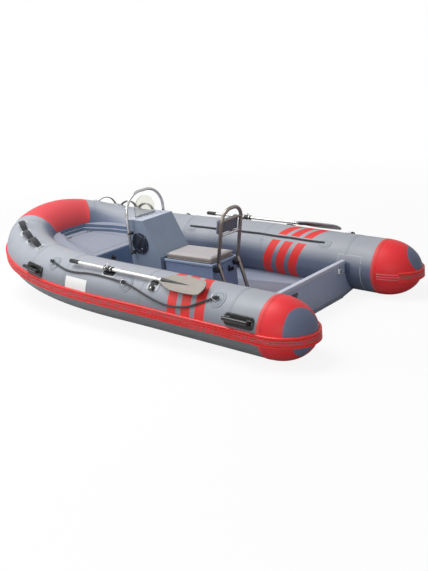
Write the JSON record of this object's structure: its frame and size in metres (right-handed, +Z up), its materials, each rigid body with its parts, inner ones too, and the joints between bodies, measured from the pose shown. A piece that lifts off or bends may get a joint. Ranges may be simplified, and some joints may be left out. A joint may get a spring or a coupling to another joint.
{
  "type": "inflatable rib boat",
  "caption": "Small rigid inflatable boat with an aluminium V hull, jockey console, cushioned seat box, backrest frame, clipped oars and grab lines.",
  "frame": {"origin": "amidships on the centre plane, at the level of the water", "axes": "+X to the bow, +Y to port, +Z up"},
  "size_m": [3.7507, 2.0434, 0.9835],
  "materials": {
    "tube_grey": "matte",
    "tube_red": "matte",
    "strake_red": "matte",
    "hull_paint": "satin",
    "deck_paint": "satin",
    "step_paint": "satin",
    "console_blue": "satin",
    "lid_pale": "satin",
    "cushion_cover": "soft",
    "pipe_steel": "satin",
    "black_plastic": "matte",
    "oar_shaft": "satin",
    "oar_blade": "matte",
    "rope_black": "matte",
    "webbing": "matte",
    "screen_clear": "clear",
    "plate_white": "satin",
    "patch_grey": "matte",
    "eye_steel": "satin"
  },
  "bodies": {
    "boat": {"tube_port": "tube_grey", "tube_starboard": "tube_grey", "bow_section": "tube_red", "cone_port": "tube_red", "cone_starboard": "tube_red", "rubstrake_port": "strake_red", "rubstrake_starboard": "strake_red", "hull": "hull_paint", "cockpit_floor": "deck_paint", "transom": "hull_paint", "transom_cap": "lid_pale", "bow_deck": "deck_paint", "bow_ledge": "deck_paint", "bow_step": "step_paint", "console_body": "console_blue", "port_ring": "console_blue", "port_lid": "black_plastic", "console_hoop": "pipe_steel", "hoop_clamps": "black_plastic", "windscreen": "screen_clear", "windscreen_foot": "black_plastic", "seat_box": "console_blue", "seat_latch": "black_plastic", "step_knob": "black_plastic", "backrest_frame": "pipe_steel", "backrest_feet": "pipe_steel", "backrest_clamps": "black_plastic", "backrest_pad": "cushion_cover", "oarlock_blocks": "black_plastic", "oarlock_pins": "eye_steel", "oar_cradles": "black_plastic", "d_rings": "eye_steel", "grab_straps": "webbing", "carry_handles": "black_plastic", "life_line_port": "rope_black", "life_line_starboard": "rope_black", "inner_line_port": "rope_black", "inner_line_starboard": "rope_black", "glued_patches": "patch_grey", "blank_plates": "plate_white", "transom_eyes": "eye_steel", "bow_eye": "eye_steel", "drain_boot": "black_plastic"},
    "seat_lid": {"seat_lid": "lid_pale", "seat_lid_hinges": "pipe_steel", "seat_cushion": "cushion_cover"},
    "bow_lid": {"bow_hatch_lid": "deck_paint", "bow_lid_hinges": "pipe_steel", "bow_hatch_latches": "black_plastic"},
    "oar_port": {"oar_port_shaft": "oar_shaft", "oar_port_blade": "oar_blade", "oar_port_fittings": "black_plastic"},
    "oar_starboard": {"oar_starboard_shaft": "oar_shaft", "oar_starboard_blade": "oar_blade", "oar_starboard_fittings": "black_plastic"}
  },
  "joints": [
    {"name": "seat_lid_hinge", "type": "hinge", "parent": "boat", "child": "seat_lid", "pos_m": [0.102, 0, 0.3673], "axis": [0, 1, 0], "range_deg": [0, 50]},
    {"name": "bow_lid_hinge", "type": "hinge", "parent": "boat", "child": "bow_lid", "pos_m": [0.88, 0, 0.36894], "axis": [0, -1, 0], "range_deg": [0, 95]},
    {"name": "oar_port_pivot", "type": "hinge", "parent": "boat", "child": "oar_port", "pos_m": [0, 0.87192, 0.49252], "axis": [0.0179, -0.3588, -0.9332], "range_deg": [0, 110]},
    {"name": "oar_starboard_pivot", "type": "hinge", "parent": "boat", "child": "oar_starboard", "pos_m": [0, -0.87192, 0.49252], "axis": [-0.0179, -0.3588, 0.9332], "range_deg": [0, 110]}
  ]
}
